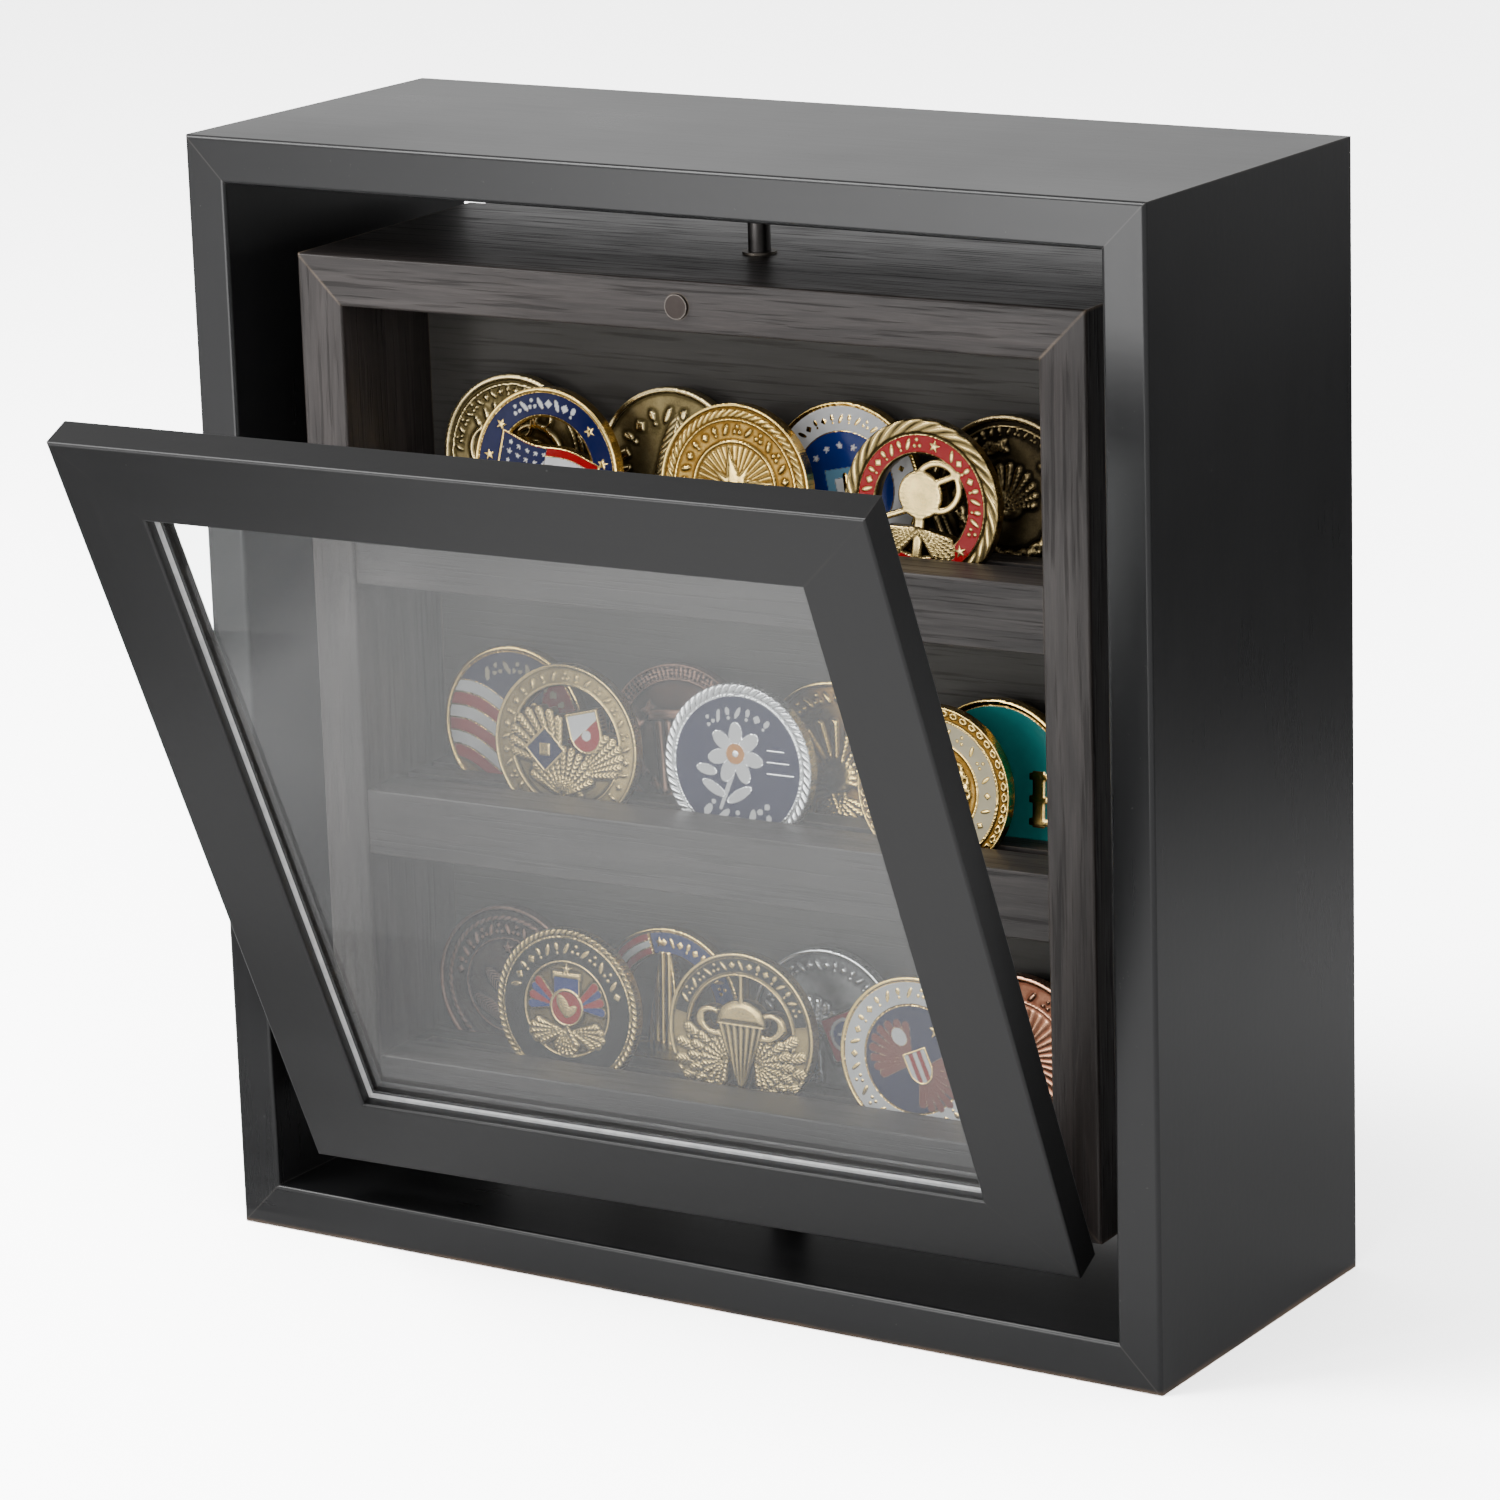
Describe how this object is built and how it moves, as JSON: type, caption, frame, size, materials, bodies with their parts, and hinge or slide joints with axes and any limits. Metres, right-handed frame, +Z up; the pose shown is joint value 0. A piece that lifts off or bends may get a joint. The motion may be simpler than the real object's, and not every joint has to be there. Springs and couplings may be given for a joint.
{
  "type": "rotating coin display frame",
  "caption": "Black wooden frame holding a two-sided glazed coin display case that turns on a vertical pivot; each glass door drops open to reach grooved coin shelves.",
  "frame": {"origin": "middle of the outer frame's underside, where it stands on the table, on the axis that the case turns about", "axes": "+X to the right as the open front door is faced, +Y towards the back, +Z up along the pivot pins"},
  "size_m": [0.29, 0.2214, 0.305],
  "materials": {
    "black_lacquer": "smooth satin black lacquer over wood",
    "door_lacquer": "smooth satin black lacquer over wood",
    "stained_wood": "open-grained wood with a very dark brown stain, worn lighter along the edges",
    "shelf_wood": "open-grained wood with a very dark brown stain",
    "panel_wood": "matt dark-stained wood",
    "bead_wood": "matt dark-stained wood",
    "bare_wood": "bare wood, hidden in the joints",
    "bright_steel": "plain turned steel",
    "bush_metal": "dull pressed steel",
    "nylon": "plain nylon",
    "magnet_nickel": "bright nickel plate",
    "hinge_brass": "dull brassed steel",
    "coin_brass": "struck metal, antique and bright gold, silver and copper tones with coloured enamel",
    "glass": "clear polished glass",
    "bright_trim": "bright satin strip"
  },
  "bodies": {
    "outer_frame": {"outer_top_board": "black_lacquer", "outer_bottom_board": "black_lacquer", "outer_left_board": "black_lacquer", "outer_right_board": "black_lacquer", "outer_mitre_splines": "bare_wood", "top_pivot_pin": "bright_steel", "bottom_pivot_pin": "bright_steel"},
    "display_case": {"case_top_board": "stained_wood", "case_bottom_board": "stained_wood", "case_left_board": "stained_wood", "case_right_board": "stained_wood", "case_mitre_splines": "bare_wood", "centre_panel": "panel_wood", "top_pivot_bush": "bush_metal", "bottom_pivot_bush": "bush_metal", "thrust_washer": "nylon", "front_top_shelf": "shelf_wood", "front_middle_shelf": "shelf_wood", "front_bottom_shelf": "shelf_wood", "rear_top_shelf": "shelf_wood", "rear_middle_shelf": "shelf_wood", "rear_bottom_shelf": "shelf_wood", "shelf_dowels": "bare_wood", "front_case_magnet": "magnet_nickel", "rear_case_magnet": "magnet_nickel", "front_hinge_case_leaves": "hinge_brass", "front_hinge_pins": "bright_steel", "front_case_leaf_screws": "hinge_brass", "rear_hinge_case_leaves": "hinge_brass", "rear_hinge_pins": "bright_steel", "rear_case_leaf_screws": "hinge_brass", "top_rear_row_coins": "coin_brass", "top_front_row_coins": "coin_brass", "middle_rear_row_coins": "coin_brass", "middle_front_row_coins": "coin_brass", "bottom_rear_row_coins": "coin_brass", "bottom_front_row_coins": "coin_brass"},
    "front_door": {"front_door_top_rail": "door_lacquer", "front_door_bottom_rail": "door_lacquer", "front_door_left_stile": "door_lacquer", "front_door_right_stile": "door_lacquer", "front_door_corner_keys": "bare_wood", "front_door_glass": "glass", "front_door_window_trim": "bright_trim", "front_door_glazing_beads": "bead_wood", "front_door_magnet": "magnet_nickel", "front_hinge_door_leaves": "hinge_brass", "front_door_leaf_screws": "hinge_brass"},
    "rear_door": {"rear_door_top_rail": "door_lacquer", "rear_door_bottom_rail": "door_lacquer", "rear_door_left_stile": "door_lacquer", "rear_door_right_stile": "door_lacquer", "rear_door_corner_keys": "bare_wood", "rear_door_glass": "glass", "rear_door_window_trim": "bright_trim", "rear_door_glazing_beads": "bead_wood", "rear_door_magnet": "magnet_nickel", "rear_hinge_door_leaves": "hinge_brass", "rear_door_leaf_screws": "hinge_brass"}
  },
  "joints": [
    {"name": "case_spin", "type": "hinge", "parent": "outer_frame", "child": "display_case", "pos_m": [0, 0, 0.1525], "axis": [0, 0, 1], "range_deg": [-14.4, 9.6]},
    {"name": "front_door_hinge", "type": "hinge", "parent": "display_case", "child": "front_door", "pos_m": [0.00184, -0.04396, 0.0284], "axis": [0.9991, 0.0419, 0], "range_deg": [-25, 65]},
    {"name": "rear_door_hinge", "type": "hinge", "parent": "display_case", "child": "rear_door", "pos_m": [-0.00184, 0.04396, 0.0284], "axis": [-0.9991, -0.0419, 0], "range_deg": [0, 90]}
  ]
}
